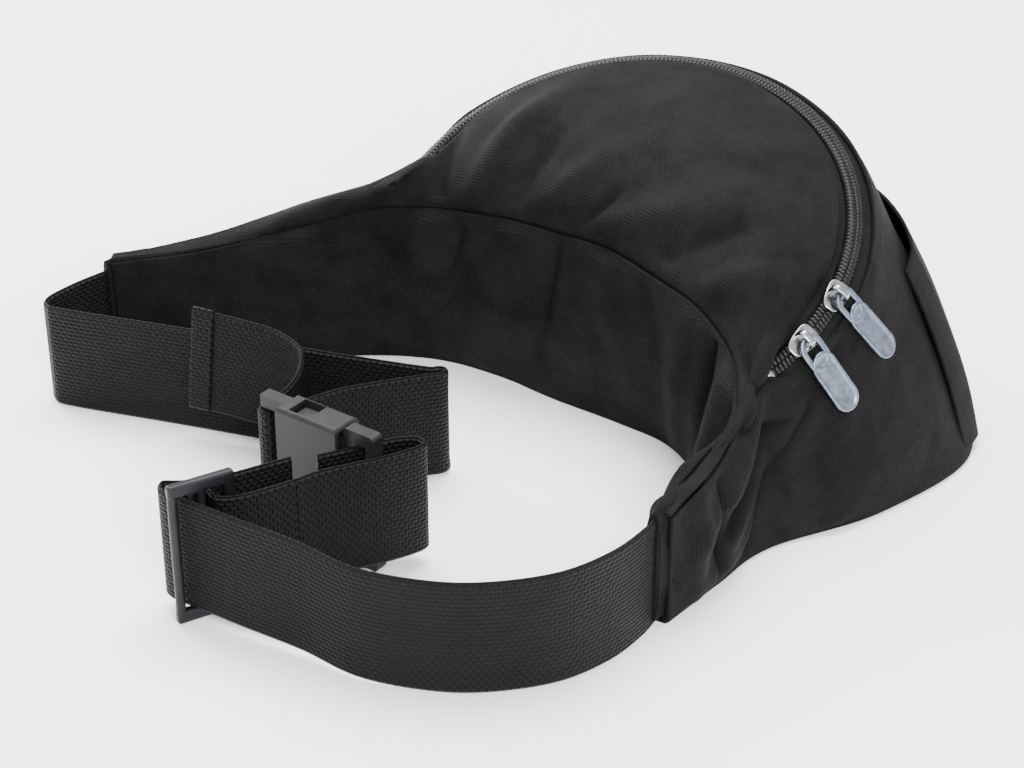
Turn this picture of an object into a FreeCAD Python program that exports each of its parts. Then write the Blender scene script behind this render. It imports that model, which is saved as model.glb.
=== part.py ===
"""Waist pack: a soft C-shaped body on a 38 mm webbing belt, standing on its bottom edge.

Frame: +X along the belt, +Y away from the wearer, +Z up, z = 0 where the pack stands.
The origin is the middle of the flat bottom panel. Lengths are millimetres, angles degrees.
"""
import FreeCAD, Part
import math
import os

V = FreeCAD.Vector

# ---- driving dimensions -------------------------------------------------------------
body_width = 240.0          # widest span of the body's bottom, across X
body_depth = 84.0           # back panel to front panel at the bottom, along Y
crown_height = 100.0        # top of the zip at the front
back_height = 66.0          # back panel's top seam in the middle
wing_height = 45.0          # wing end, where the belt enters
right_tip = (69.5, -139.0)  # ends of the two wings
left_tip = (-162.0, -96.0)
right_heading = (-0.03, -1.0)
left_heading = (-0.45, -0.89)
tip_thick = 5.0
slot_room = 0.25            # round the belt's end inside a wing
fabric = 1.6                # one lined fabric panel
padding = 3.0               # padded back panel
seam_gap = 0.4              # between two panels that are sewn together
belt_inset = 14.0           # length of belt sewn into a wing

zip_radius = 79.0           # the main zip's coils lie on this circle
zip_setback = 78.0          # the circle's centre, behind the front of the bottom
zip_tilt = 26.0             # tilt of the circle's plane, up towards the front
zip_flare = 35.0            # slope of the tapes, out and down from that plane
zip_left_end = -84.0        # the zip's ends, as angles round the circle from the front
zip_right_end = 118.0
tape_width = 9.0            # one tape, from the middle of the chain outwards
tape_thick = 0.7
coil_width = 2.4            # one side's coil
coil_height = 2.2
coil_lift = 0.05            # between a tape and the coil on it
coil_split = 1.2            # the gap that a slider's post runs in
stop_length = 3.0
stop_thick = 0.85

slider_width = 8.6
slider_length = 11.0
slider_plate = 1.0
slider_clear = 0.35         # between the coils and the slider's plates
post_thick = 0.6
bridge_height = 5.2
bridge_thick = 1.4
bridge_width = 2.2
slider_a_angle = 92.0
slider_b_angle = 106.0
pull_length = 30.0
pull_width = 9.5
pull_thick = 1.4
pull_hang = 58.0            # a hanging pull, below the plane of the zip
eye_rim = 1.6
eye_length = 6.5
eye_width = 4.8
pull_drop = 0.5             # pull below the underside of its bridge

webbing_width = 38.0
webbing_thick = 1.7
webbing_base = 5.2          # the belt's lower edge, held up by the hardware
edge_clear = 0.8            # webbing edge to hardware
face_clear = 0.45           # webbing face to hardware

triglide_at = (-52.5, -209.4)
triglide_angle = 60.0
triglide_bar = 3.0
triglide_rail = 4.2

buckle_at = (-60.0, -151.5)
buckle_angle = -7.0
buckle_thick = 11.0
buckle_wall = 1.5
buckle_rail = 4.2
ladder_bar = 3.2
ladder_slot = 5.6
housing_length = 24.0
neck_length = 3.0
frame_thick = 4.4
tongue_width = 8.0
arm_width = 3.4
arm_length = 18.0
pad_length = 7.0
arm_travel = 2.6            # room outside the arm, for its pad
fit_clear = 0.35

pocket_gap = 0.9            # front pocket over the front panel
pocket_thick = 1.2
pocket_ribs = (1, 7)        # the pocket spans these ribs
pocket_top = 0.27           # its top edge, as a share of the way down the front
pocket_zip = 0.045          # its zip, as a share of the same way

half_width = body_width / 2
front_y = body_depth / 2
belt_z = webbing_base + webbing_width / 2
hardware_height = webbing_width + 2 * edge_clear + 2 * triglide_rail


# ---- curves and simple solids -------------------------------------------------------
def spline(points):
    """A smooth curve through the points."""
    curve = Part.BSplineCurve()
    curve.interpolate([V(*p) for p in points])
    return curve


def box(x0, x1, y0, y1, z0, z1):
    return Part.makeBox(x1 - x0, y1 - y0, z1 - z0, V(x0, y0, z0))


def rod(radius, x, z0, z1, y=0.0):
    return Part.makeCylinder(radius, z1 - z0, V(x, y, z0))


def turned(shape, angle, at):
    """A copy turned about Z and moved."""
    copy = shape.copy()
    copy.rotate(V(0, 0, 0), V(0, 0, 1), angle)
    copy.translate(V(*at))
    return copy


def outward(shape):
    """The solid with its faces pointing outwards."""
    if shape.Volume < 0:
        shape.reverse()
    return shape


def hull_of_rings(rings):
    """A closed solid of ruled sides between rings of four corners, with two-triangle ends."""
    faces = []
    for ring in (rings[0], rings[-1]):
        for a, b, c in ((0, 1, 2), (0, 2, 3)):
            faces.append(Part.Face(Part.makePolygon([ring[a], ring[b], ring[c], ring[a]])))
    for low, high in zip(rings[:-1], rings[1:]):
        for i in range(4):
            j = (i + 1) % 4
            faces.append(Part.makeRuledSurface(Part.makeLine(low[i], low[j]),
                                               Part.makeLine(high[i], high[j])))
    shell = Part.Shell(faces)
    shell.sewShape()
    return outward(Part.Solid(shell))


def export(node, shape):
    shape.exportStep("parts/" + node + ".step")


# ---- the zip's circle ---------------------------------------------------------------
tilt = math.radians(zip_tilt)
flare = math.radians(zip_flare)
zip_axis = V(0, -math.sin(tilt), math.cos(tilt))
zip_forward = V(0, math.cos(tilt), math.sin(tilt))
zip_centre = V(0, front_y - zip_setback, crown_height - zip_radius * math.sin(tilt))


def radial(angle):
    a = math.radians(angle)
    return V(1, 0, 0) * math.sin(a) + zip_forward * math.cos(a)


def zip_point(angle, across=0.0, above=0.0):
    """A point at an angle round the zip, across its tapes (out is +) and above them."""
    out = radial(angle)
    slope = out * math.cos(flare) - zip_axis * math.sin(flare)
    normal = out * math.sin(flare) + zip_axis * math.cos(flare)
    return zip_centre + out * zip_radius + slope * across + normal * above


def zip_ring(across0, across1, above0, above1, start, end):
    """The band between two distances across the tapes, turned round the zip's axis."""
    corners = [(across0, above0), (across1, above0), (across1, above1), (across0, above1)]
    points = [zip_point(start, *c) for c in corners]
    face = Part.Face(Part.makePolygon(points + [points[0]]))
    return face.revolve(zip_centre, zip_axis, start - end)


# ---- the body's ribs ----------------------------------------------------------------
# Each rib: angle round the zip, then back seam (x, y, z), back foot (x, y), front foot (x, y),
# with x as a share of the half width, y of the half depth and z of the back height.
ribs = [
    (-84, (-0.77, -1.00, 0.86), (-0.73, -0.96), (-1.06, -0.74)),
    (-62, (-0.57, -0.94, 0.94), (-0.55, -0.78), (-0.98, -0.08)),
    (-38, (-0.37, -0.95, 0.99), (-0.35, -0.79), (-0.78, 0.56)),
    (-14, (-0.15, -0.98, 1.00), (-0.15, -0.90), (-0.32, 0.95)),
    (12, (0.04, -1.06, 1.00), (0.07, -0.98), (0.28, 0.97)),
    (38, (0.22, -1.26, 0.99), (0.23, -1.06), (0.80, 0.58)),
    (62, (0.38, -1.46, 0.95), (0.35, -1.30), (0.98, -0.10)),
    (88, (0.52, -1.74, 0.85), (0.43, -1.66), (0.88, -1.20)),
    (118, (0.615, -2.17, 0.70), (0.48, -2.08), (0.69, -2.06)),
]


def back_seam(rib):
    x, y, z = rib[1]
    return V(x * half_width, y * front_y, z * back_height)


def foot(rib, which):
    x, y = rib[which]
    return V(x * half_width, y * front_y, 0)


rib_angles = [zip_left_end] + [rib[0] for rib in ribs[1:-1]] + [zip_right_end]
seam_reach = tape_width + seam_gap + 0.6 * fabric
seam_in = [zip_point(a, -seam_reach) for a in rib_angles]
seam_out = [zip_point(a, seam_reach) for a in rib_angles]


def bowed(start, end, out, rise, t0, t1, lift, steps=6):
    """Points between two shares of the way from start to end, on a line bowed outwards."""
    points = []
    for i in range(steps + 1):
        t = t0 + (t1 - t0) * i / steps
        points.append(start + (end - start) * t + out * (4 * t * (1 - t) * rise + lift))
    return points


def facing(starts, ends):
    """The outward direction at each rib, square to it and to the way along the ribs."""
    last = len(starts) - 1
    outs = []
    for i, (start, end) in enumerate(zip(starts, ends)):
        after, before = min(i + 1, last), max(i - 1, 0)
        along = starts[after] + ends[after] - starts[before] - ends[before]
        outs.append(along.cross(end - start).normalize())
    return outs


def squared(direction, starts, ends):
    """One direction, made square to each rib."""
    outs = []
    for start, end in zip(starts, ends):
        rib = (end - start).normalize()
        outs.append((direction - rib * direction.dot(rib)).normalize())
    return outs


def panel(starts, ends, outs, rises, thick, t0=0.0, t1=1.0, lift=0.0):
    """A bowed sheet through one rib after another; its thickness is laid inwards."""
    wires = []
    for start, end, out, rise in zip(starts, ends, outs, rises):
        face = bowed(start, end, out, rise, t0, t1, lift)
        back = [p - out * thick for p in face]
        edges = [spline(face).toShape(), Part.makeLine(face[-1], back[-1]),
                 spline(back[::-1]).toShape(), Part.makeLine(back[0], face[0])]
        wires.append(Part.Wire(edges))
    return outward(Part.makeLoft(wires, True, False))


def raised(points, height):
    return [p + V(0, 0, height) for p in points]


def body_panels():
    seams = [back_seam(r) for r in ribs]
    back_feet = [foot(r, 2) for r in ribs]
    front_feet = [foot(r, 3) for r in ribs]
    flat = [0.0] * len(ribs)
    crown = [3.0, 8.0, 12.0, 14.0, 14.0, 12.0, 8.0, 4.0, 1.0]
    front_bow = [2.0, 3.0, 4.0, 5.0, 5.0, 4.0, 3.0, 2.0, 1.0]
    above_bottom = fabric + seam_gap
    low, high = raised(back_feet, above_bottom), raised(seams, -seam_gap)
    hems = raised(front_feet, above_bottom)
    front_outs = facing(seam_out, hems)
    # the roof narrows towards the zip's right end, so its last ribs start further left
    eaves = seams[:-2] + [(seams[-3] + seams[-2]) * 0.5, seams[-2] * 0.85 + seams[-1] * 0.15]
    outline = spline(back_feet).discretize(Number=33)
    outline += spline(front_feet).discretize(Number=33)[::-1]
    bottom = Part.Face(Part.makePolygon(outline + [outline[0]])).extrude(V(0, 0, fabric))
    near = slice(*pocket_ribs)
    pocket = [seam_out[near], hems[near], front_outs[near], front_bow[near]]
    tape_lift = pocket_gap + tape_thick
    coil_face = tape_lift + coil_lift + coil_height / 2
    return {
        "back_panel": panel(low, high, facing(low, high), flat, padding),
        "top_panel": panel(eaves, seam_in, squared(zip_axis, eaves, seam_in), crown,
                           fabric, 0.02, 0.99),
        "front_panel": panel(seam_out, hems, front_outs, front_bow, fabric, 0.0, 0.985),
        "bottom_panel": bottom,
        "front_pocket": panel(*pocket, pocket_thick, pocket_top, 0.97,
                              pocket_gap + pocket_thick),
        "pocket_zip_tape": panel(*pocket, tape_thick, pocket_top - 3 * pocket_zip,
                                 pocket_top - pocket_zip / 10, tape_lift),
        "pocket_zip_coil": panel(*pocket, coil_height / 2, pocket_top - 1.5 * pocket_zip,
                                 pocket_top - pocket_zip / 2, coil_face),
    }


# ---- the wings ----------------------------------------------------------------------
def wing(near, tip, heading):
    """A pouch that tapers from four corners of the body to a thin end that grips the belt.

    The corners run back foot, back seam, front seam, front foot.
    """
    along = V(*heading, 0).normalize()
    side = along.cross(V(0, 0, 1))
    end = V(*tip, 0)
    half = side * (tip_thick / 2)
    far = [end + half, end + half + V(0, 0, wing_height),
           end - half + V(0, 0, wing_height), end - half]
    near = [p + along * seam_gap for p in near]
    middle = [(a + b) * 0.5 for a, b in zip(near, far)]
    pouch = hull_of_rings([near, middle, far])
    deep = belt_inset + slot_room
    half_t = webbing_thick / 2 + slot_room
    pocket = box(-deep, 1.0, -half_t, half_t, webbing_base - slot_room,
                 webbing_base + webbing_width + slot_room)
    return pouch.cut(turned(pocket, math.degrees(math.atan2(along.y, along.x)), end))


def right_wing():
    last = ribs[-1]
    near = [foot(last, 2), back_seam(last), seam_out[-1], foot(last, 3)]
    return wing(near, right_tip, right_heading)


def left_wing():
    first = ribs[0]
    near = [foot(first, 2), back_seam(first), seam_out[0], foot(first, 3)]
    return wing(near[::-1], left_tip, left_heading)


# ---- the main zip -------------------------------------------------------------------
def zip_pieces():
    start, end = zip_left_end, zip_right_end
    edge = coil_split / 2
    low = -tape_thick
    tape_in = zip_ring(-tape_width, -edge, low, 0, start, end)
    tape_out = zip_ring(edge, tape_width, low, 0, start, end)
    top = coil_lift + coil_height
    coil_in = zip_ring(-edge - coil_width, -edge, coil_lift, top, start, end)
    coil_out = zip_ring(edge, edge + coil_width, coil_lift, top, start, end)
    stop_arc = math.degrees(stop_length / zip_radius)
    reach = edge + coil_width
    stops = [zip_ring(-reach, reach, top + coil_lift, top + stop_thick, a, a + stop_arc)
             for a in (start, end - stop_arc)]
    return {
        "zip_tape_inner": tape_in, "zip_tape_outer": tape_out,
        "zip_coil_inner": coil_in, "zip_coil_outer": coil_out,
        "zip_stop_left": stops[0], "zip_stop_right": stops[1],
    }


def placed(shape, origin, x_dir, y_dir, z_dir):
    """A copy moved into a right-handed set of directions at an origin."""
    matrix = FreeCAD.Matrix(x_dir.x, y_dir.x, z_dir.x, origin.x,
                            x_dir.y, y_dir.y, z_dir.y, origin.y,
                            x_dir.z, y_dir.z, z_dir.z, origin.z, 0, 0, 0, 1)
    copy = shape.copy()
    copy.Placement = FreeCAD.Placement(matrix)
    return copy


def local_box(angle, along, across, above):
    """A box in the zip's own directions at an angle round it: along, across, above."""
    origin = zip_point(angle)
    across_dir = zip_point(angle, 1.0) - origin
    above_dir = zip_point(angle, 0.0, 1.0) - origin
    return placed(box(*along, *across, *above), origin,
                  across_dir.cross(above_dir), across_dir, above_dir)


plate_top = coil_lift + coil_height + slider_clear + slider_plate
pivot_above = plate_top + bridge_height - bridge_thick - pull_drop - pull_thick / 2


def slider(angle):
    """Two plates joined by a thin post, with a bridge across the top that holds the pull."""
    half_l, half_w = slider_length / 2, slider_width / 2
    top = plate_top - slider_plate
    low = -tape_thick - slider_clear
    arch = plate_top + bridge_height
    half_b = bridge_width / 2
    leg = half_w - 1.0
    parts = [
        ((-half_l, half_l), (-half_w, half_w), (top, plate_top)),
        ((-half_l, half_l), (-half_w, half_w), (low - slider_plate, low)),
        ((-1.5, 1.5), (-post_thick / 2, post_thick / 2), (low, top)),
        ((-half_b, half_b), (-leg, -leg + bridge_thick), (plate_top, arch)),
        ((-half_b, half_b), (leg - bridge_thick, leg), (plate_top, arch)),
        ((-half_b, half_b), (-leg, leg), (arch - bridge_thick, arch)),
    ]
    shape = local_box(angle, *parts[0])
    for part in parts[1:]:
        shape = shape.fuse(local_box(angle, *part))
    return shape.removeSplitter()


def stadium(x0, x1, half, z0, z1):
    """A plate with two round ends, from x0 to x1."""
    body = box(x0 + half, x1 - half, -half, half, z0, z1)
    body = body.fuse(rod(half, x0 + half, z0, z1))
    return body.fuse(rod(half, x1 - half, z0, z1)).removeSplitter()


def pull(angle):
    """A rounded tag with an eye at the bridge and a sunk panel inside a raised rim."""
    half_t = pull_thick / 2
    start = -eye_rim / 2
    end = start + pull_length
    eye_end = start + eye_rim + eye_length
    tag = stadium(start, end, pull_width / 2, -half_t, half_t)
    eye = stadium(start + eye_rim, eye_end, eye_width / 2, -half_t, half_t)
    panel_half = pull_width / 2 - 1.4
    sunk = stadium(eye_end + 1.4, end - 1.4, panel_half, half_t - 0.35, half_t)
    tag = tag.cut(eye).cut(sunk)
    out = radial(angle)
    hang = math.radians(pull_hang)
    length = out * math.cos(hang) - zip_axis * math.sin(hang)
    normal = out * math.sin(hang) + zip_axis * math.cos(hang)
    side = normal.cross(length)
    origin = zip_point(angle, 0.0, pivot_above)
    return placed(tag, origin, length, side, normal)


# ---- the belt -----------------------------------------------------------------------
def ribbon(route, steps=3):
    """Webbing in short ruled lengths along a route of (x, y, z, lean in degrees)."""
    curve = spline([point[:3] for point in route])
    knots = curve.getKnots()
    sections = []
    for i in range(len(route) - 1):
        last = steps if i < len(route) - 2 else steps + 1
        for j in range(last):
            t = j / steps
            u = knots[i] + (knots[i + 1] - knots[i]) * t
            lean = math.radians(route[i][3] + (route[i + 1][3] - route[i][3]) * t)
            tangent = curve.tangent(u)[0]
            level = V(tangent.x, tangent.y, 0).normalize()
            up = V(0, 0, 1) * math.cos(lean) - level * math.sin(lean)
            side = level.cross(V(0, 0, 1)) * (webbing_thick / 2)
            centre = curve.value(u)
            half = up * (webbing_width / 2)
            ring = [centre - half - side, centre - half + side,
                    centre + half + side, centre + half - side]
            sections.append(Part.makePolygon(ring + [ring[0]]))
    return outward(Part.makeLoft(sections, True, True))


def level(points, z=belt_z, lean=0.0):
    return [(x, y, z, lean) for x, y in points]


def spin(x, y, angle, at):
    """A local point turned and moved in plan."""
    a = math.radians(angle)
    return (at[0] + x * math.cos(a) - y * math.sin(a), at[1] + x * math.sin(a) + y * math.cos(a))


# the belt crosses the outer slot level, so the slot is measured across that slope
slope = math.sin(math.radians(triglide_angle))
triglide_pitch = (triglide_bar + 2 * webbing_thick + 3 * face_clear) / slope
beside_bar = triglide_bar / 2 + face_clear + webbing_thick / 2
wrap_reach = ladder_bar / 2 + face_clear + webbing_thick / 2


def at_triglide(x, y):
    return spin(x, y, triglide_angle, triglide_at)


def at_buckle(x, y):
    return spin(x, y, buckle_angle, buckle_at)


male_start = ladder_bar + ladder_slot + housing_length + fit_clear
male_slot = male_start + neck_length + ladder_slot / 2


def inset_end(tip, heading):
    """The belt's sewn end, inside a wing."""
    length = math.hypot(*heading)
    return tuple(t - h / length * belt_inset for t, h in zip(tip, heading))


def right_belt():
    """From the right wing round the tri-glide's outer bar and on towards the buckle."""
    tx, ty = right_tip
    fx, fy = triglide_at
    below = fy + beside_bar
    run = beside_bar + webbing_thick + face_clear
    return ribbon(level([
        inset_end(right_tip, right_heading), (tx, ty), (tx - 0.1, ty - 10),
        (tx - 3, ty - 25), (tx - 11, ty - 41),
        (tx - 26, ty - 55), (tx - 42, ty - 63), (tx - 55, ty - 66), (10, below - 0.4),
        (-12, below + 1.4), (-32, below + 0.4), (fx + 9, below), (fx, below), (fx - 6.4, below + 0.8),
        (fx - 8.8, below + 4.2), at_triglide(5.5, run + 4.2), at_triglide(13, run + 0.9),
        at_triglide(22, run), at_triglide(40, run - 0.5)]))


def sewn_loop():
    """The end that is sewn round the middle bar, and the front layer that leads from it."""
    reach = beside_bar
    return ribbon(level([
        at_triglide(triglide_pitch - reach, -0.8), at_triglide(triglide_pitch - reach, 0.3),
        at_triglide(triglide_pitch - reach * 0.7, reach * 0.7),
        at_triglide(triglide_pitch, reach), at_triglide(triglide_pitch + reach * 0.7, reach * 0.7),
        at_triglide(triglide_pitch + reach, 0), at_triglide(triglide_pitch + reach + 0.3, -4.0),
        at_triglide(triglide_pitch + reach + 4.5, -6.6), at_triglide(triglide_pitch + 14, -7.6),
        at_triglide(triglide_pitch + 24, -7.8)]))


def buckle_loop():
    """The belt's fold, which passes through the male half's slot."""
    return ribbon(level([
        at_triglide(triglide_pitch + 26.5, -7.6), at_triglide(triglide_pitch + 36, -7.0),
        at_buckle(male_slot + 9.0, -1.5), at_buckle(male_slot + 13.5, 8.5),
        at_buckle(male_slot + 13.6, 12.6), at_buckle(male_slot + 9.6, 13.2),
        at_buckle(male_slot + 5.0, 8.6), at_buckle(male_slot, 0.0),
        at_buckle(male_slot - 5.0, -8.6), at_buckle(male_slot - 7.2, -12.6)]))


def left_belt():
    """From the left wing round two folds to the housing's ladder bar."""
    tx, ty = left_tip
    bar = ladder_bar / 2
    route = level([
        inset_end(left_tip, left_heading), (tx, ty), (tx - 5.6, ty - 13),
        (tx - 8.4, ty - 25), (tx - 6, ty - 29.5),
        (tx + 2, ty - 29.5), (tx + 42, ty - 21), (tx + 90, ty - 11.5), (tx + 126, ty - 3.6),
        (tx + 133.5, ty - 1.4), (tx + 134.5, ty - 4.6), (tx + 129, ty - 12), (tx + 116, ty - 31),
        at_buckle(bar + 5.4, 12.0), at_buckle(bar + wrap_reach + 0.3, 4.6)])
    wrap = [at_buckle(bar + wrap_reach * math.cos(a), wrap_reach * math.sin(a))
            for a in (0.0, -math.pi / 4, -math.pi / 2, -3 * math.pi / 4, -math.pi)]
    return ribbon(route + level(wrap + [at_buckle(bar - wrap_reach - 0.3, 4.5)]))


def tail_route():
    bx = ladder_bar / 2 - wrap_reach - 0.4
    x0, y0 = at_buckle(bx, 5.2)
    x1, y1 = at_buckle(bx - 0.6, 13.0)
    return [(x0, y0, belt_z, 0), (x1, y1, belt_z, 0), (x1 - 3.0, y1 + 11, belt_z + 0.6, 6),
            (x1 - 9.5, y1 + 20.0, belt_z + 1.8, 14), (x1 - 20, y1 + 22.6, belt_z + 3.6, 22),
            (x1 - 32, y1 + 20.6, belt_z + 5.4, 29), (x1 - 43, y1 + 18.2, belt_z + 6.6, 32)]


def tail_hem():
    """The tail's end, folded over twice and stitched, in front of the tail."""
    route = tail_route()
    (x0, y0, z0, _), (x1, y1, z1, lean) = route[-2:]
    step = V(x1 - x0, y1 - y0, z1 - z0).normalize()
    start = V(x1, y1, z1) + step * 0.3
    end = start + step * 7.0
    level_step = V(step.x, step.y, 0).normalize()
    up = V(0, 0, 1) * math.cos(math.radians(lean)) - level_step * math.sin(math.radians(lean))
    half = up * (webbing_width / 2)
    side = level_step.cross(V(0, 0, 1)) * (webbing_thick * 1.2)
    corners = [start - half - side, start - half + side, start + half + side, start + half - side]
    return Part.Face(Part.makePolygon(corners + [corners[0]])).extrude(end - start)


# ---- tri-glide and side-release buckle ----------------------------------------------
def triglide():
    """Three upright round bars between a top and a bottom rail."""
    half = triglide_bar / 2
    high = hardware_height / 2
    body = None
    for sign in (-1, 1):
        z0, z1 = sorted((sign * (high - triglide_rail), sign * high))
        rail = box(-half, 2 * triglide_pitch + half, -half, half, z0, z1)
        rail = rail.makeFillet(0.9, rail.Edges)
        body = rail if body is None else body.fuse(rail)
    for i in range(3):
        body = body.fuse(rod(half, i * triglide_pitch, 1 - high, high - 1))
    body.translate(V(0, 0, belt_z))
    return turned(body, triglide_angle, (*triglide_at, 0))


buckle_half = hardware_height / 2
housing_start = ladder_bar + ladder_slot
housing_end = housing_start + housing_length
cavity_half = buckle_half - buckle_wall


def in_buckle(shape):
    shape.translate(V(0, 0, belt_z))
    return turned(shape, buckle_angle, (*buckle_at, 0))


def buckle_housing():
    """The female half: a hollow housing, side windows for the arms and a bar for the belt."""
    half_y = buckle_thick / 2
    half_f = frame_thick / 2
    inner = buckle_half - buckle_rail
    body = box(housing_start, housing_end, -half_y, half_y, -buckle_half, buckle_half)
    body = body.makeFillet(1.6, [e for e in body.Edges if e.Length < buckle_thick + 1
                                 or abs(e.Length - housing_length) < 0.1])
    frame = box(0, housing_start + 2.0, -half_f, half_f, -buckle_half, buckle_half)
    frame = frame.cut(box(-1, housing_start, -half_f, half_f, -inner, inner))
    bar = rod(ladder_bar / 2, ladder_bar / 2, -buckle_half + 1, buckle_half - 1)
    body = body.fuse(frame).fuse(bar)
    room = half_y - buckle_wall
    body = body.cut(box(housing_start + 2.4, housing_end, -room, room,
                        -cavity_half, cavity_half))
    for sign in (-1, 1):
        z0, z1 = sorted((sign * (cavity_half - 1), sign * (buckle_half + 1)))
        body = body.cut(box(window_start, window_end, -room, room, z0, z1))
    return in_buckle(body)


window_start = housing_start + 4.4
window_end = window_start + pad_length + 4 * fit_clear
arm_root = male_start + 0.6


def male_half():
    """The male half: a frame with the belt's slot, a neck and a middle tongue."""
    half_f = frame_thick / 2
    inner = buckle_half - buckle_rail
    end = male_start + neck_length + ladder_slot + ladder_bar
    frame = box(male_start, end, -half_f, half_f, -buckle_half, buckle_half)
    slot = box(male_start + neck_length, end - ladder_bar, -half_f, half_f, -inner, inner)
    frame = frame.cut(slot)
    frame = frame.makeFillet(1.5, [e for e in frame.Edges if abs(e.Length - frame_thick) < 0.01
                                   and abs(e.CenterOfMass.z) > inner + 1])
    tongue = box(male_start - arm_length + 2, male_start + 0.1, -1.7, 1.7,
                 -tongue_width / 2, tongue_width / 2)
    frame = frame.fuse(tongue).removeSplitter()
    for sign in (-1, 1):
        z0, z1 = sorted((sign * (arm_mid - arm_width), sign * (arm_mid + arm_width)))
        frame = frame.cut(box(male_start - 0.1, arm_root + fit_clear, -half_f, half_f, z0, z1))
    return in_buckle(frame)


arm_mid = cavity_half - fit_clear - arm_width / 2 - arm_travel


def arm(sign):
    """A sprung side arm with the press pad that shows in the housing's window."""
    tip = arm_root - arm_length
    bar = box(tip, arm_root, -1.9, 1.9, arm_mid - arm_width / 2, arm_mid + arm_width / 2)
    pad_start = window_start + 2 * fit_clear
    pad = box(pad_start, pad_start + pad_length, -3.2, 3.2,
              arm_mid - arm_width / 2, cavity_half - fit_clear)
    shape = bar.fuse(pad).removeSplitter()
    shape = shape.makeFillet(0.7, [e for e in shape.Edges
                                   if e.CenterOfMass.z > cavity_half - fit_clear - 0.01])
    if sign < 0:
        shape.rotate(V(0, 0, 0), V(1, 0, 0), 180)
    return in_buckle(shape)


# ---- everything ---------------------------------------------------------------------
def main():
    os.makedirs("parts", exist_ok=True)
    pieces = body_panels()
    pieces.update(zip_pieces())
    # the front's cloth is cut back where the two tapes are sewn against it
    for tape in ("zip_tape_outer", "pocket_zip_tape"):
        pieces["front_panel"] = pieces["front_panel"].cut(pieces[tape])
    pieces["wing_right"] = right_wing().cut(pieces["back_panel"])
    pieces["wing_left"] = left_wing()
    pieces["belt_right"] = right_belt()
    pieces["belt_left"] = left_belt()
    pieces["belt_sewn_loop"] = sewn_loop()
    pieces["belt_buckle_loop"] = buckle_loop()
    pieces["belt_tail"] = ribbon(tail_route())
    pieces["belt_tail_hem"] = tail_hem()
    pieces["triglide"] = triglide()
    pieces["buckle_housing"] = buckle_housing()
    pieces["buckle_male"] = male_half()
    pieces["buckle_arm_upper"] = arm(1)
    pieces["buckle_arm_lower"] = arm(-1)
    for name, angle in (("a", slider_a_angle), ("b", slider_b_angle)):
        pieces["zip_slider_" + name] = slider(angle)
        pieces["zip_pull_" + name] = pull(angle)
    for node, shape in pieces.items():
        if not shape.isValid() or shape.Volume <= 0:
            print("check", node, shape.isValid(), round(shape.Volume, 2))
        export(node, shape)


main()
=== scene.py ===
"""Waist pack with a curved zip, tapered wings and a webbing belt, built round its frame."""
import math

import bpy
import numpy as np
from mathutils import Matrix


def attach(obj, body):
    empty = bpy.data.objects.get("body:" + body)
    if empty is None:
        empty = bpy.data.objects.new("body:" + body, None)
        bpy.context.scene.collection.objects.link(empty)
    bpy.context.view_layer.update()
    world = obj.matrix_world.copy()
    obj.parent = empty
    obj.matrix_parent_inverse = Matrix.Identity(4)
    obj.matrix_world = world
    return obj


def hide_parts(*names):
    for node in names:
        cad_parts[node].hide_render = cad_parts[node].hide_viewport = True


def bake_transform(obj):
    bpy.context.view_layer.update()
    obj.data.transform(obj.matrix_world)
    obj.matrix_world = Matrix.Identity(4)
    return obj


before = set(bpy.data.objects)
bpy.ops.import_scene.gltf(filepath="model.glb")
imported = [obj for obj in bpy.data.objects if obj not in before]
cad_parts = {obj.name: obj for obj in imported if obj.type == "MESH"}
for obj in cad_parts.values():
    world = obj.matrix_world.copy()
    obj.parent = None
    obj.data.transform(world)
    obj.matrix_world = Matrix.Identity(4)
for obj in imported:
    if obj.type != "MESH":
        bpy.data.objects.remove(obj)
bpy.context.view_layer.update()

bl_info = {
    "name": "Waist pack",
    "version": (1, 0, 0),
    "blender": (4, 5, 0),
    "location": "View3D > Sidebar > Waist pack",
    "description": "Makes a waist pack of woven nylon on a webbing belt",
    "category": "Add Mesh",
}

MM = 0.001
PACK = "pack"
UP = np.array([0.0, 0.0, 1.0])

# ---- the pack's own sizes, in millimetres -------------------------------------------
ZIP_RADIUS = 79.0
ZIP_TILT = math.radians(26.0)
ZIP_CREST = 100.0
ZIP_CENTRE = np.array([0.0, -36.0, ZIP_CREST - ZIP_RADIUS * math.sin(ZIP_TILT)])
ZIP_FLARE = math.radians(35.0)
ZIP_AXIS = np.array([0.0, -math.sin(ZIP_TILT), math.cos(ZIP_TILT)])
ZIP_FORWARD = np.array([0.0, math.cos(ZIP_TILT), math.sin(ZIP_TILT)])
ZIP_ENDS = (-84.0, 118.0)
SLIDER_ANGLES = {"a": 92.0, "b": 106.0}
PULL_HANG = math.radians(58.0)
PIVOT_ABOVE = 6.2
TAG_HALF = 4.75
STITCH_LENGTH, STITCH_PITCH, THREAD_RADIUS = 2.4, 3.2, 0.32
BELT_WIDTH = 38.0
BELT_THICK = 1.7
BELT_Z = 24.2
BELT_INSET = 14
RIGHT_TIP = (69.5, -139.0)
LEFT_TIP = (-162.0, -96.0)
RIGHT_HEADING = (-0.03, -1.0)
LEFT_HEADING = (-0.45, -0.89)
TRIGLIDE_AT, TRIGLIDE_TURN = (-52.5, -209.4), 60.0
BUCKLE_AT, BUCKLE_TURN = (-60.0, -151.5), -7.0
TRIGLIDE_BAR = 3.0
FACE_CLEAR = 0.45
TRIGLIDE_PITCH = (TRIGLIDE_BAR + 2 * BELT_THICK + 3 * FACE_CLEAR) / math.sin(math.radians(60.0))
BESIDE_BAR = TRIGLIDE_BAR / 2 + FACE_CLEAR + BELT_THICK / 2
LADDER_BAR = 3.2
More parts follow.
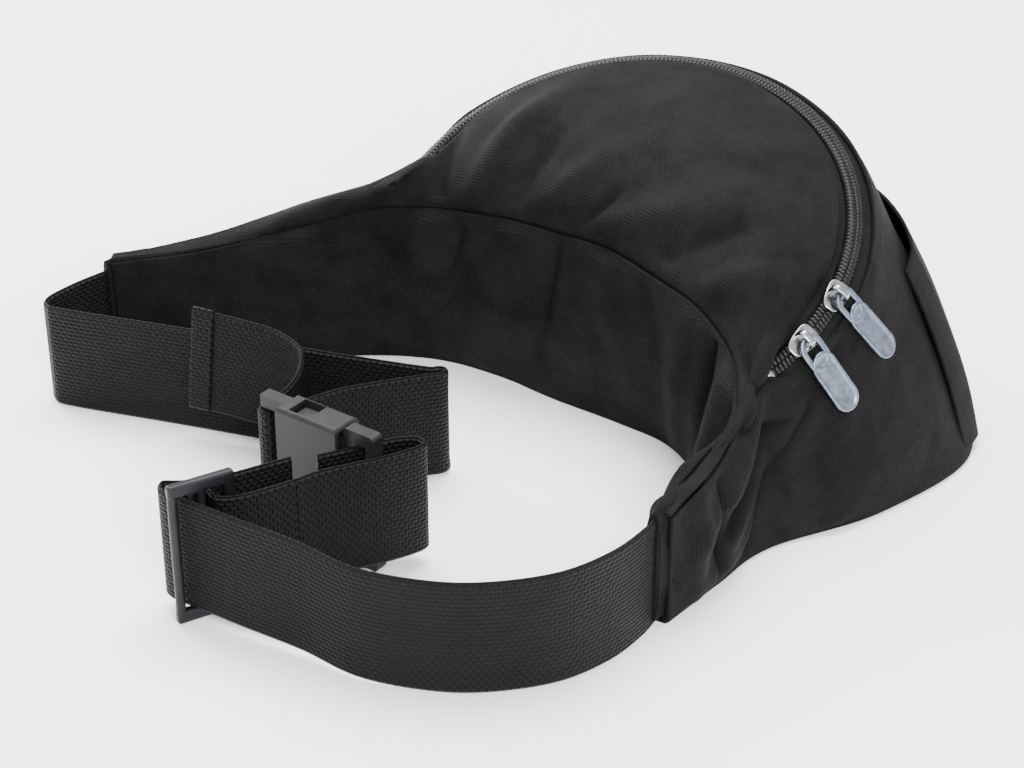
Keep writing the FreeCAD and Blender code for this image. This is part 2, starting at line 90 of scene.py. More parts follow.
WRAP_REACH = LADDER_BAR / 2 + FACE_CLEAR + BELT_THICK / 2
MALE_SLOT = LADDER_BAR + 5.6 + 24.0 + 0.35 + 3.0 + 2.8


# ---- curves and surfaces --------------------------------------------------------------
def curve_through(points, t):
    """A Catmull-Rom curve: each span is the cubic whose end slopes join the points' neighbours."""
    p = np.asarray(points, float)
    p = np.vstack([2 * p[0] - p[1], p, 2 * p[-1] - p[-2]])
    x = np.clip(t, 0, 1) * (len(p) - 3)
    i = np.clip(x.astype(int), 0, len(p) - 4)
    f = (x - i)[..., None]
    a, b, c, d = p[i], p[i + 1], p[i + 2], p[i + 3]
    return 0.5 * (2 * b + (c - a) * f + (2 * a - 5 * b + 4 * c - d) * f**2
                  + (3 * b - a - 3 * c + d) * f**3)


def evenly(path, step):
    """The path again, with points an even step apart along its length."""
    gaps = np.linalg.norm(np.diff(path, axis=0), axis=1)
    length = np.concatenate([[0], np.cumsum(gaps)])
    count = max(int(round(length[-1] / step)), 2) + 1
    at = np.linspace(0, length[-1], count)
    return np.stack([np.interp(at, length, path[:, k]) for k in range(path.shape[1])], 1), at


def whole_turn(count):
    return np.linspace(0, 2 * np.pi, count, endpoint=False)


def unit(vectors):
    return vectors / np.maximum(np.linalg.norm(vectors, axis=-1, keepdims=True), 1e-9)


def radial(angle):
    """The direction from the zip circle's centre at an angle round it, 0 at the front."""
    a = np.radians(np.asarray(angle, float))[..., None]
    return np.array([1.0, 0, 0]) * np.sin(a) + ZIP_FORWARD * np.cos(a)


def zip_point(angle, across=0.0, above=0.0):
    """The zip's cone: circle, plus a distance down its slope and a height square to that."""
    out = radial(angle)
    slope = out * math.cos(ZIP_FLARE) - ZIP_AXIS * math.sin(ZIP_FLARE)
    rise = out * math.sin(ZIP_FLARE) + ZIP_AXIS * math.cos(ZIP_FLARE)
    across = np.asarray(across, float)[..., None]
    above = np.asarray(above, float)[..., None]
    return ZIP_CENTRE + out * ZIP_RADIUS + slope * across + rise * above


def grid_faces(rows, columns, wrap=False):
    """Quads between neighbouring rows and columns; wrap joins the last column to the first."""
    i, j = np.meshgrid(np.arange(rows - 1), np.arange(columns - (not wrap)), indexing="ij")
    k = (j + 1) % columns
    quads = [i * columns + j, i * columns + k, (i + 1) * columns + k, (i + 1) * columns + j]
    return np.stack(quads, -1).reshape(-1, 4)


def capped_tube(rows, columns):
    """The faces of a tube of rings, with a cap at each end."""
    faces = grid_faces(rows, columns, True)[:, ::-1].tolist()
    last = rows * columns - 1
    return faces + [list(range(columns)), list(range(last, last - columns, -1))]


def grid_normals(points):
    """Unit normals of a grid, from the cross product of its two slopes."""
    return unit(np.cross(np.gradient(points, axis=0), np.gradient(points, axis=1)))


def cloth_coordinates(points):
    """Distances in millimetres along a grid's rows and columns, measured on the surface."""
    along = np.linalg.norm(np.diff(points, axis=0), axis=2).mean(1)
    across = np.linalg.norm(np.diff(points, axis=1), axis=2)
    u = np.concatenate([[0], np.cumsum(along)])[:, None] * np.ones(points.shape[1])
    v = np.concatenate([np.zeros((len(points), 1)), np.cumsum(across, 1)], 1)
    return u, v


def new_piece(name, points, faces, uv, material, body=PACK):
    """A mesh object from points in millimetres and faces, with its cloth coordinates as UVs."""
    mesh = bpy.data.meshes.new(name)
    mesh.from_pydata((np.asarray(points) * MM).tolist(), [], [list(map(int, f)) for f in faces])
    if uv is not None:
        layer = mesh.uv_layers.new(name="cloth")
        corner = np.empty(len(mesh.loops), dtype=np.int32)
        mesh.loops.foreach_get("vertex_index", corner)
        layer.data.foreach_set("uv", (np.asarray(uv)[corner] * MM).astype(np.float32).ravel())
    mesh.shade_smooth()
    mesh.materials.append(bpy.data.materials[material])
    piece = bpy.data.objects.new(name, mesh)
    bpy.context.scene.collection.objects.link(piece)
    if body is not None:
        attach(piece, body)
    return piece


def stand_in(piece, slot, *nodes):
    """The piece stands for frame nodes, which are hidden; the slot is not used."""
    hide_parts(*nodes)


def surface_piece(name, points, outward, material, thick):
    """A grid surface whose faces point along outward; Solidify gives it a wall inwards."""
    u, v = cloth_coordinates(points)
    faces = grid_faces(*points.shape[:2])
    if (grid_normals(points) * outward(points)).sum(-1).mean() < 0:
        faces = faces[:, ::-1]
    uv = np.stack([u, v], -1).reshape(-1, 2)
    piece = new_piece(name, points.reshape(-1, 3), faces, uv, material)
    wall = piece.modifiers.new("wall", "SOLIDIFY")
    wall.thickness, wall.offset = thick * MM, -1.0
    return piece


def sweep(path, up, profile):
    """A closed profile carried along a path: x to the path's side, y towards up."""
    tangent = unit(np.gradient(path, axis=0))
    side = unit(np.cross(tangent, up))
    top = np.cross(side, tangent)
    points = (path[:, None] + side[:, None] * profile[None, :, :1]
              + top[:, None] * profile[None, :, 1:])
    return points.reshape(-1, 3), capped_tube(*points.shape[:2])


def round_profile(radius_x, radius_y, count=10, power=1.0):
    """A superellipse: power 1 is an ellipse, and less is squarer."""
    a = whole_turn(count)
    c, s = np.cos(a), np.sin(a)
    x = radius_x * np.sign(c) * np.abs(c) ** power
    y = radius_y * np.sign(s) * np.abs(s) ** power
    return np.stack([x, y], 1)


def tube_piece(name, path, radius, material):
    """A round tube along a path, such as a rolled seam: a circle carried along it."""
    profile = round_profile(radius, radius)
    points, faces = sweep(path, UP, profile)
    along = np.concatenate([[0], np.cumsum(np.linalg.norm(np.diff(path, axis=0), axis=1))])
    around = np.linspace(0, 2 * np.pi * radius, len(profile), endpoint=False)
    uv = np.stack(np.meshgrid(along, around, indexing="ij"), -1).reshape(-1, 2)
    return new_piece(name, points, faces, uv, material)


def stitch_piece(name, rows):
    """Threads laid on a seam: each stitch is a six-sided spindle, sunk at both ends.

    rows holds pairs of a path and the surface's outward direction along it.
    """
    shape_t = np.array([-0.5, -0.36, 0.0, 0.36, 0.5]) * STITCH_LENGTH
    shape_r = np.array([0.25, 0.9, 1.0, 0.9, 0.25]) * THREAD_RADIUS
    sink = np.array([-0.9, 0.1, 0.45, 0.1, -0.9]) * THREAD_RADIUS
    rings, sides = len(shape_t), 6
    a = whole_turn(sides)
    spots, faces = [], []
    stitch = capped_tube(rings, sides)
    for path, out in rows:
        both, _ = evenly(np.hstack([path, out]), STITCH_PITCH)
        middle, normal = both[:, :3], unit(both[:, 3:])
        tangent = unit(np.gradient(middle, axis=0))
        side = unit(np.cross(normal, tangent))
        centre = (middle[:, None] + tangent[:, None] * shape_t[None, :, None]
                  + normal[:, None] * sink[None, :, None])
        wheel = (side[:, None, None] * np.cos(a)[None, None, :, None]
                 + normal[:, None, None] * np.sin(a)[None, None, :, None])
        spots.append((centre[:, :, None] + wheel * shape_r[None, :, None, None]).reshape(-1, 3))
    points = np.concatenate(spots)
    for first in range(0, len(points), rings * sides):
        faces += [[corner + first for corner in face] for face in stitch]
    return new_piece(name, points, faces, points[:, :2], "polyester thread, bonded")


# ---- the pack's outline -----------------------------------------------------------------
# Stations run from the left wing's tip, round the body, to the right wing's tip.
BACK_SEAM = [(-162, -97.5, 43.5), (-138, -80, 46), (-113, -58, 51), (-92.4, -42, 57),
             (-68.4, -39.5, 62), (-44.4, -40, 65.3), (-18, -41.2, 66), (4.8, -44.5, 66),
             (26.4, -53, 65), (45.6, -61.5, 62.5), (62, -73, 56), (72.5, -92, 47),
             (71.5, -116, 40.5), (69.5, -139, 37.5)]
BACK_FOOT = [(-160, -98, 1), (-134, -79, 1), (-110, -56, 1), (-87.6, -41, 1), (-66, -33, 1),
             (-42, -33.2, 1), (-18, -37.8, 1), (8.4, -41.2, 1), (27.6, -45, 1),
             (42, -55, 1), (51.6, -70, 1), (57.6, -88, 1), (62, -113, 1), (66.5, -139, 1)]
FRONT_FOOT = [(-164, -94, 1), (-152, -76, 1), (-141, -54, 1), (-127, -31, 1),
              (-117.6, -3.4, 1), (-93, 24, 1), (-39, 40, 1), (34, 40.6, 1), (95, 25, 1),
              (118, -5, 1), (105.5, -51, 1), (83, -87, 1), (77, -113, 1), (72.5, -139, 1)]
ZIP_STATIONS = [-84, -62, -38, -14, 12, 38, 62, 88, 118]
LEFT_RIDGE = [(-163.5, -94.5, 43.5), (-139.5, -74, 47.5), (-112, -47, 56)]
RIGHT_RIDGE = [(75.5, -113, 42), (72.5, -139, 37.5)]
STATIONS = len(BACK_SEAM)
ZIP_FIRST, ZIP_LAST = 3, 11     # the stations of the zip's two ends
HEM_OVER_TAPE = 6.3
HELD_SHARE = 0.07               # of a panel's depth, held flat by each seam
OUTWARD_LEAN = 0.6              # how far a bow leans from square towards straight outwards


def station(k):
    return k / (STATIONS - 1)


def ridge_points(side):
    """Places on the cloth's edge beside the zip: side -1 is the roof's, 1 is the front's."""
    spots = [tuple(zip_point(a, side * HEM_OVER_TAPE, 1.1)) for a in ZIP_STATIONS]
    nudge = np.array([0.25, 0.75, 0.5]) * side
    left = [tuple(np.array(p) + nudge * k) for k, p in zip((0.3, 1.4, 2.6), LEFT_RIDGE)]
    right = [tuple(np.array(p) + np.array([1.0, 0.1, -0.3]) * side * k)
             for k, p in zip((2.0, 0.3), RIGHT_RIDGE)]
    return left + spots + right


def ridge(side, t):
    """The cloth's edge beside the zip; at the zip's ends the two edges close over the chain."""
    here = curve_through(ridge_points(side), t)
    there = curve_through(ridge_points(-side), t)
    past = np.maximum(station(ZIP_FIRST) - t, t - station(ZIP_LAST)) * (STATIONS - 1)
    shut = np.clip((past + 0.2) / 0.3, 0, 1)
    shut = (shut * shut * (3 - 2 * shut))[..., None]
    hump = 2.2 * np.exp(-(((past - 0.05) / 0.22) ** 2))[..., None]
    middle = (here + there) / 2
    return here + (middle - here) * shut + ZIP_AXIS * hump


def outline_at(line, t):
    """An outline's points at t: a list of places, or the cloth's edge on one side of the zip."""
    return ridge(line, t) if isinstance(line, int) else curve_through(line, t)


def spread(low, high, t_rows, t_columns):
    """Straight lines from one outline to the other, at each place along them."""
    a = outline_at(low, t_rows)[:, None]
    b = outline_at(high, t_rows)[:, None]
    return a + (b - a) * t_columns[None, :, None]


def creases(u, v, lines):
    """Soft ridges and furrows: each falls away as a bell from a straight line on the cloth.

    Each of lines holds x0, y0, x1, y1, the bell's width and its height, in millimetres.
    """
    lift = np.zeros_like(u)
    for x0, y0, x1, y1, width, height in lines:
        dx, dy = x1 - x0, y1 - y0
        t = np.clip(((u - x0) * dx + (v - y0) * dy) / (dx * dx + dy * dy), 0, 1)
        gap = np.hypot(u - x0 - t * dx, v - y0 - t * dy)
        fade = np.sin(np.pi * (0.12 + 0.76 * t))
        lift += height * fade * np.exp(-((gap / width) ** 2))
    return lift


def ripples(u, v, seed, size, height):
    """Slow waves: a sum of eight sine waves in seeded directions, no shorter than size."""
    rng = np.random.default_rng(seed)
    lift = np.zeros_like(u)
    for _ in range(8):
        angle, phase, stretch = rng.uniform(0, 2 * np.pi, 2).tolist() + [rng.uniform(1, 2.6)]
        wave = 2 * np.pi / (size * stretch)
        lift += np.sin((u * math.cos(angle) + v * math.sin(angle)) * wave + phase)
    return lift * height / 4


def held_at_edges(v_share):
    """0 at a panel's two sewn edges and 1 between, by a smooth step at each."""
    rise = np.clip(np.minimum(v_share, 1 - v_share) / HELD_SHARE, 0, 1)
    return rise * rise * (3 - 2 * rise)


def away_from_middle(points):
    return points - np.array([0.0, -10.0, 35.0])


def upwards(points):
    return np.zeros_like(points) + ZIP_AXIS


def downwards(points):
    return np.zeros_like(points) - UP


def towards_wearer(points):
    return np.zeros_like(points) + np.array([0, -1.0, 0])


def outward_normals(points, facing):
    """The grid's normals, turned to the facing side and leaned towards it."""
    normal = grid_normals(points)
    if (normal * facing(points)).sum(-1).mean() < 0:
        normal = -normal
    return unit(normal + OUTWARD_LEAN * unit(facing(points)))


def panel_points(low, high, lines, bow, facing, seed, waves, skew=1.0):
    """A sewn panel: straight between its seams, bowed by a parabola, then creased."""
    t_rows = np.linspace(0, 1, 360)
    share = np.linspace(0, 1, 90)
    flat = spread(low, high, t_rows, share)
    normal = outward_normals(flat, facing)
    rise = np.interp(t_rows * (STATIONS - 1), np.arange(STATIONS), bow)[:, None]
    arch = share[None] ** skew
    body = flat + normal * (rise * 4 * arch * (1 - arch))[..., None]
    u, v = cloth_coordinates(body)
    lift = creases(u, v, lines) + ripples(u, v, seed, 26, waves)
    return body + normal * (lift * held_at_edges(share)[None])[..., None]


# ---- finishes -----------------------------------------------------------------------------
def hex_rgb(text):
    """An sRGB hex colour turned to linear light."""
    parts = np.array([int(text[i:i + 2], 16) / 255 for i in (1, 3, 5)])
    linear = np.where(parts <= 0.04045, parts / 12.92, ((parts + 0.055) / 1.055) ** 2.4)
    return (*linear.tolist(), 1.0)


def add(tree, kind, sockets=None, **settings):
    """A node with its settings; a socket takes a value or another node's output."""
    node = tree.nodes.new(kind)
    for name, value in settings.items():
        setattr(node, name, value)
    for name, value in (sockets or {}).items():
        if isinstance(value, bpy.types.NodeSocket):
            tree.links.new(value, node.inputs[name])
        else:
            node.inputs[name].default_value = value
    return node


def begin(name):
    """An empty material's nodes."""
    material = bpy.data.materials.new(name)
    material.use_nodes = True
    material.node_tree.nodes.clear()
    return material.node_tree


def finish(tree, sockets):
    """The shader and the output that complete a material."""
    skin = add(tree, "ShaderNodeBsdfPrincipled", sockets)
    add(tree, "ShaderNodeOutputMaterial", {"Surface": skin.outputs[0]})


# the wave texture repeats every 2 pi / 20 of its coordinate at a scale of 1
WAVE_PERIOD = 2 * math.pi / 20


def wave_scale(pitch_mm):
    return WAVE_PERIOD / (pitch_mm * MM)


def blotches(tree, source, size_mm, low, high):
    """Uneven dye and dust: noise between two colours, over patches of a size."""
    noise = add(tree, "ShaderNodeTexNoise",
                {"Vector": source, "Scale": 1 / (size_mm * MM), "Detail": 5.0, "Roughness": 0.65})
    ramp = add(tree, "ShaderNodeValToRGB", {"Fac": noise.outputs["Fac"]})
    ramp.color_ramp.elements[0].position, ramp.color_ramp.elements[1].position = 0.32, 0.7
    ramp.color_ramp.elements[0].color, ramp.color_ramp.elements[1].color = low, high
    return ramp.outputs["Color"], noise.outputs["Fac"]


def woven_nylon(name, dark, light, pitch=1.0, depth=0.22, sheen=0.006):
    """Plain-woven textured nylon, piece-dyed: two crossed sets of threads, dull, faint sheen.

    Its threads are about 0.6 mm apart, drawn at 1 mm so that they show.
    """
    tree = begin(name)
    cloth = add(tree, "ShaderNodeUVMap", uv_map="cloth").outputs["UV"]
    wobble = add(tree, "ShaderNodeTexNoise", {"Vector": cloth, "Scale": 1 / (6 * MM)})
    shift = add(tree, "ShaderNodeVectorMath", {0: wobble.outputs["Color"], "Scale": 0.25 * MM},
                operation="SCALE")
    place = add(tree, "ShaderNodeVectorMath", {0: cloth, 1: shift.outputs["Vector"]},
                operation="ADD").outputs["Vector"]
    warp = add(tree, "ShaderNodeTexWave", {"Vector": place, "Scale": wave_scale(pitch)},
               bands_direction="X")
    weft = add(tree, "ShaderNodeTexWave", {"Vector": place, "Scale": wave_scale(pitch)},
               bands_direction="Y")
    cross = add(tree, "ShaderNodeMath", {0: warp.outputs["Fac"], 1: weft.outputs["Fac"]},
                operation="MULTIPLY").outputs[0]
    colour, _ = blotches(tree, cloth, 14, dark, light)
    lit = add(tree, "ShaderNodeMix", {"Factor": cross, "A": colour, "B": light},
              data_type="RGBA", blend_type="MIX")
    shade = add(tree, "ShaderNodeMix", {"Factor": 0.55, "A": lit.outputs["Result"], "B": colour},
                data_type="RGBA")
    fuzz = add(tree, "ShaderNodeTexNoise", {"Vector": cloth, "Scale": 1 / (0.5 * MM),
                                            "Detail": 3.0})
    height = add(tree, "ShaderNodeMath", {0: cross, 1: fuzz.outputs["Fac"]}, operation="ADD")
    bump = add(tree, "ShaderNodeBump", {"Height": height.outputs[0], "Distance": depth * MM,
                                        "Strength": 0.9})
    finish(tree, {"Base Color": shade.outputs["Result"], "Roughness": 0.7, "IOR": 1.5,
                  "Specular IOR Level": 0.07, "Sheen Weight": sheen, "Sheen Roughness": 0.4,
                  "Normal": bump.outputs["Normal"]})


def polypropylene_webbing(name, dark, light, pitch=2.3):
    """Polypropylene webbing from a shuttle loom: rows of beads, offset like bricks, soft gloss. The
    grooves between the beads carry painted shade.
    """
    tree = begin(name)
    cloth = add(tree, "ShaderNodeUVMap", uv_map="cloth").outputs["UV"]
    beads = add(tree, "ShaderNodeTexBrick",
                {"Vector": cloth, "Scale": 1.0, "Brick Width": pitch * MM,
                 "Row Height": pitch * MM * 0.62, "Mortar Size": pitch * MM * 0.3,
                 "Mortar Smooth": 1.0}, offset=0.5, squash=1.0)
    dome = add(tree, "ShaderNodeMath", {0: 1.0, 1: beads.outputs["Fac"]},
               operation="SUBTRACT").outputs[0]
    colour, _ = blotches(tree, cloth, 9, dark, light)
    # painted shade: the grooves between the beads take the dark colour, the beads take the random
    # tone
    lit = add(tree, "ShaderNodeMix", {"Factor": dome, "A": dark, "B": colour}, data_type="RGBA")
    strands = add(tree, "ShaderNodeTexWave", {"Vector": cloth, "Scale": wave_scale(0.42),
                                              "Distortion": 1.5}, bands_direction="X")
    fine = add(tree, "ShaderNodeMath", {0: strands.outputs["Fac"], 1: 0.12},
               operation="MULTIPLY").outputs[0]
    height = add(tree, "ShaderNodeMath", {0: dome, 1: fine}, operation="ADD").outputs[0]
    bump = add(tree, "ShaderNodeBump", {"Height": height, "Distance": 0.55 * MM,
                                        "Strength": 1.0})
    finish(tree, {"Base Color": lit.outputs["Result"], "Roughness": 0.5, "IOR": 1.49,
                  "Specular IOR Level": 0.12, "Sheen Weight": 0.005,
                  "Normal": bump.outputs["Normal"]})


def moulded_plastic(name, dark, light, rough=0.42, grain=0.5):
    """Acetal or nylon 6, injection moulded: a fine spark-eroded grain and a few scuffs."""
    tree = begin(name)
    place = add(tree, "ShaderNodeTexCoord").outputs["Object"]
    colour, scuff = blotches(tree, place, 7, dark, light)
    grit = add(tree, "ShaderNodeTexNoise", {"Vector": place, "Scale": 1 / (grain * MM),
                                            "Detail": 2.0})
    bump = add(tree, "ShaderNodeBump", {"Height": grit.outputs["Fac"], "Distance": 0.03 * MM,
                                        "Strength": 0.6})
    gloss = add(tree, "ShaderNodeMapRange", {"Value": scuff, "To Min": rough - 0.08,
                                             "To Max": rough + 0.14}).outputs["Result"]
    finish(tree, {"Base Color": colour, "Roughness": gloss, "IOR": 1.48, "Specular IOR Level": 0.24,
                  "Normal": bump.outputs["Normal"]})


def cast_metal(name, dark, light, rough=0.26):
    """Zinc alloy, die cast and plated: bright, with light scratches and dulled high spots."""
    tree = begin(name)
    place = add(tree, "ShaderNodeTexCoord").outputs["Object"]
    colour, wear = blotches(tree, place, 3, dark, light)
    long = add(tree, "ShaderNodeMapping", {"Vector": place, "Scale": (1.0, 1.0, 9.0)})
    scratch = add(tree, "ShaderNodeTexNoise", {"Vector": long.outputs["Vector"],
                                               "Scale": 1 / (0.7 * MM), "Detail": 3.0})
    gloss = add(tree, "ShaderNodeMapRange", {"Value": scratch.outputs["Fac"],
                                             "To Min": rough - 0.1, "To Max": rough + 0.16})
    bump = add(tree, "ShaderNodeBump", {"Height": wear, "Distance": 0.04 * MM, "Strength": 0.5})
    finish(tree, {"Base Color": colour, "Metallic": 1.0, "Roughness": gloss.outputs["Result"],
                  "Normal": bump.outputs["Normal"]})


def all_materials(colours):
    cloth_dark, cloth_light = colours.cloth_dark, colours.cloth_light
    woven_nylon("woven nylon, textured", cloth_dark, cloth_light)
    woven_nylon("woven nylon over foam", cloth_dark, cloth_light, 1.1, 0.26, 0.006)
    woven_nylon("polyester zip tape", hex_rgb("#0a0c0b"), hex_rgb("#141715"), 0.7, 0.08, 0.01)
    woven_nylon("polyester thread, bonded", hex_rgb("#121113"), hex_rgb("#29272b"), 0.5, 0.05)
    webbing_dark_and_groove_shade, webbing_light = colours.webbing_dark_and_groove_shade, colours.webbing_light
    polypropylene_webbing("polypropylene webbing", webbing_dark_and_groove_shade, webbing_light)
    moulded_plastic("nylon coil, extruded", hex_rgb("#070808"), hex_rgb("#151716"), 0.34, 0.4)
    moulded_plastic("acetal, moulded", hex_rgb("#151314"), hex_rgb("#232122"), 0.42)
    moulded_plastic("acetal, moulded dark", hex_rgb("#0c0c0f"), hex_rgb("#18181b"), 0.36)
    cast_metal("zinc alloy, nickel plated", hex_rgb("#77797b"), hex_rgb("#b4b5b4"), 0.2)
    cast_metal("zinc alloy, satin blue-grey", hex_rgb("#5b636f"), hex_rgb("#858d9a"), 0.36)


# ---- the body ---------------------------------------------------------------------------
def back_panel(sizes):
    bow = [0, 1, 1.5, 2, 2.5, 3, 3, 3, 3, 2.5, 1.5, 1, 0.5, 0]
    lines = [(150, 68, 132, 10, 8, 4.6), (166, 68, 160, 22, 4, -4.4), (186, 68, 196, 20, 7, 4.0),
             (118, 64, 96, 14, 8, 3.8), (224, 64, 220, 6, 6, 3.4), (237, 64, 240, 14, 3.5, -5.0),
             (250, 60, 262, 6, 6, 6.2), (264, 52, 278, 8, 3.5, -4.6), (278, 48, 312, 22, 4, 3.8),
             (70, 52, 44, 18, 8, 2.6), (130, 64, 122, 40, 3, -2.4),
             (204, 64, 210, 34, 4, -2.0), (290, 42, 318, 24, 5, 1.8), (270, 46, 300, 12, 4, -1.6),
             (176, 40, 120, 6, 10, 1.6)]
    points = panel_points(BACK_FOOT, BACK_SEAM, lines, bow, towards_wearer, 3, 0.9)
    piece = surface_piece("back_panel_cloth", points, towards_wearer, "woven nylon over foam",
                          thick=sizes.padding * 1000 * 0.8)
    stand_in(piece, "padded_back", "back_panel")


def roof_panel(sizes):
    bow = [0, 0.5, 2, 3, 8, 11, 12, 12, 11, 8, 4.5, 1.2, 0.4, 0]
    lines = [(148, 1, 160, 50, 6, 4.6), (164, 1, 172, 34, 4, -3.8), (134, 1, 128, 30, 5, -3.6),
             (176, 1, 196, 32, 6, 3.6), (118, 1, 108, 34, 7, 3.8), (204, 1, 240, 26, 7, 4.2),
             (192, 1, 208, 20, 3.5, -3.2), (60, 2, 96, 12, 5, 2.2), (262, 1, 284, 26, 6, 4.0),
             (236, 2, 262, 34, 5, -3.2), (224, 34, 284, 40, 9, 2.4), (90, 4, 122, 14, 5, 2.8),
             (296, 4, 330, 12, 4, -2.4), (300, 16, 344, 3, 4, 2.6)]
    points = panel_points(BACK_SEAM, -1, lines, bow, upwards, 5, 0.55, skew=0.66)
    piece = surface_piece("roof_cloth", points, upwards, "woven nylon, textured",
                          thick=sizes.fabric * 1000)
    stand_in(piece, "woven_fabric", "top_panel")


def front_panel(sizes):
    bow = [0, 1, 2, 3, 3.5, 4, 5, 5, 4, 1.5, 0.7, 0.7, 1.5, 0]
    lines = [(60, 10, 84, 60, 10, 2.2), (306, 20, 320, 70, 10, 1.6), (250, 30, 262, 84, 14, 1.3),
             (34, 10, 50, 40, 6, -1.8), (14, 6, 30, 34, 5, 1.8), (398, 46, 372, 68, 8, 2.4),
             (440, 2, 484, 15, 4.5, 5.0), (432, 14, 470, 24, 2.6, -5.2),
             (446, 23, 478, 30, 5, 3.6), (420, 14, 452, 42, 2.8, -3.0),
             (452, 36, 486, 33, 3.5, 3.0),
             (474, 4, 476, 34, 2.2, -4.2), (485, 2, 486, 34, 4.5, 4.4),
             (398, 52, 430, 62, 8, 2.2)]
    points = panel_points(1, FRONT_FOOT, lines, bow, away_from_middle, 7, 0.6)
    piece = surface_piece("front_cloth", points, away_from_middle, "woven nylon, textured",
                          thick=sizes.fabric * 1000)
    stand_in(piece, "woven_fabric", "front_panel", "wing_left", "wing_right")


def bottom_panel(sizes):
    t_rows, share = np.linspace(0, 1, 200), np.linspace(0, 1, 40)
    points = spread(BACK_FOOT, FRONT_FOOT, t_rows, share)
    points[..., 2] = 0.35 + 0.25 * (2 * share[None] - 1) ** 4
    piece = surface_piece("bottom_cloth", points, downwards, "woven nylon, textured",
                          thick=sizes.fabric * 1000 * 0.7)
    stand_in(piece, "woven_fabric", "bottom_panel")


def front_pocket():
    """The front pocket lies on the front panel; its mouth is a zip below the main one."""
    count, ease_rows, bow = 260, 14, 4.5

    def layer(v0, v1, columns, lift, waves, side=9.05):
        t_rows = np.linspace(station(3.9), station(side), count)
        share = np.linspace(v0, v1, columns)
        points = spread(1, FRONT_FOOT, t_rows, share)
        normal = outward_normals(points, away_from_middle)
        rise = bow * 4 * share * (1 - share)
        u, v = cloth_coordinates(points)
        wave = ripples(u, v, 11, 26, waves)
        row = np.arange(count)
        ease = np.clip(np.minimum(row, row[::-1]) / ease_rows, 0, 1)[:, None]
        return points + normal * (rise[None] + (lift + wave) * ease - 0.6 * (1 - ease))[..., None]

    pocket = layer(0.26, 0.975, 70, 2.6, 0.5)
    piece = surface_piece("front_pocket_cloth", pocket, away_from_middle,
                          "woven nylon, textured", thick=1.2)
    stand_in(piece, "woven_fabric", "front_pocket")
    tape = layer(0.16, 0.275, 16, 1.4, 0.2, 7.9)
    tape_piece = surface_piece("pocket_tape_cloth", tape, away_from_middle, "polyester zip tape",
                               thick=0.6)
    stand_in(tape_piece, "zip_tape", "pocket_zip_tape")
    coil = layer(0.19, 0.22, 10, 2.6, 0.2, 7.8)
    coil_piece = surface_piece("pocket_coil", coil, away_from_middle, "nylon coil, extruded",
                               thick=0.9)
    stand_in(coil_piece, "zip_coil", "pocket_zip_coil")
    rows = []
    for share in (2, 6):
        line = pocket[6:-6, share]
        rows.append((line + unit(away_from_middle(line)) * 0.25, unit(away_from_middle(line))))
    seams = stitch_piece("pocket_stitching", rows)


def rolled_seams():
    """Welts where panels are sewn together: a folded edge of cloth, a little proud."""
    t = np.linspace(0, 1, 500)
    for name, outline, radius, lift in (("back_seam_welt", BACK_SEAM, 1.3, 0.2),
                                        ("back_hem_welt", BACK_FOOT, 1.2, 0.3),
                                        ("front_hem_welt", FRONT_FOOT, 1.2, 0.3)):
        path = curve_through(outline, t) + np.array([0, 0, lift])
        piece = tube_piece(name, evenly(path, 1.2)[0], radius, "woven nylon, textured")


def wing_ends():
    """Each wing's mouth: a sleeve of gathered cloth that grips the belt."""
    rows, sides, sunk, length = 60, 96, 15, 18.5
    for side, tip, heading, middle, half in (("left", LEFT_TIP, LEFT_HEADING, 22.6, 21.2),
                                             ("right", RIGHT_TIP, RIGHT_HEADING, 20.4, 19.2)):
        t, a = np.linspace(0, 1, rows), whole_turn(sides)
        ahead = np.array([*heading, 0.0]) / math.hypot(*heading)
        across = np.cross(ahead, UP)
        start = np.array([*tip, middle]) - ahead * sunk
        centre = start + ahead * (t * length)[:, None]
        puff = 1 + 1.15 * np.sin(np.pi * np.clip(t * 1.05, 0, 1)) ** 2
        fold = 1 + 0.2 * np.sin(7 * a[None] + 5 * t[:, None]) * np.sin(np.pi * t)[:, None]
        wide = (2.4 * puff + 1.0 - 0.7 * t)[:, None] * fold
        tall = (half + 0.8 * np.sin(np.pi * t))[:, None]
        c, s = np.cos(a)[None], np.sin(a)[None]
        shape_x = wide * np.sign(c) * np.abs(c) ** 0.8
        shape_y = tall * np.sign(s) * np.abs(s) ** 0.62
        points = centre[:, None] + across * shape_x[..., None] + UP * shape_y[..., None]
        u = (t * length)[:, None] * np.ones(sides)
        v = np.ones((rows, 1)) * np.linspace(0, sides, sides)
        piece = new_piece("wing_mouth_" + side, points.reshape(-1, 3), capped_tube(rows, sides),
                          np.stack([u, v], -1).reshape(-1, 2), "woven nylon, textured")


# ---- the main zip -------------------------------------------------------------------------
def zip_tapes():
    """Two woven tapes on the zip's cone, each from the chain out to under the cloth."""
    angle = np.linspace(*ZIP_ENDS, 420)
    for name, side, node in (("inner", -1, "zip_tape_inner"), ("outer", 1, "zip_tape_outer")):
        across = np.linspace(0.15, 9.0, 26) * side
        points = zip_point(angle[:, None], across[None], -0.1)
        piece = surface_piece("tape_" + name, points, upwards, "polyester zip tape",
                              thick=0.6)
        stand_in(piece, "zip_tape", node)


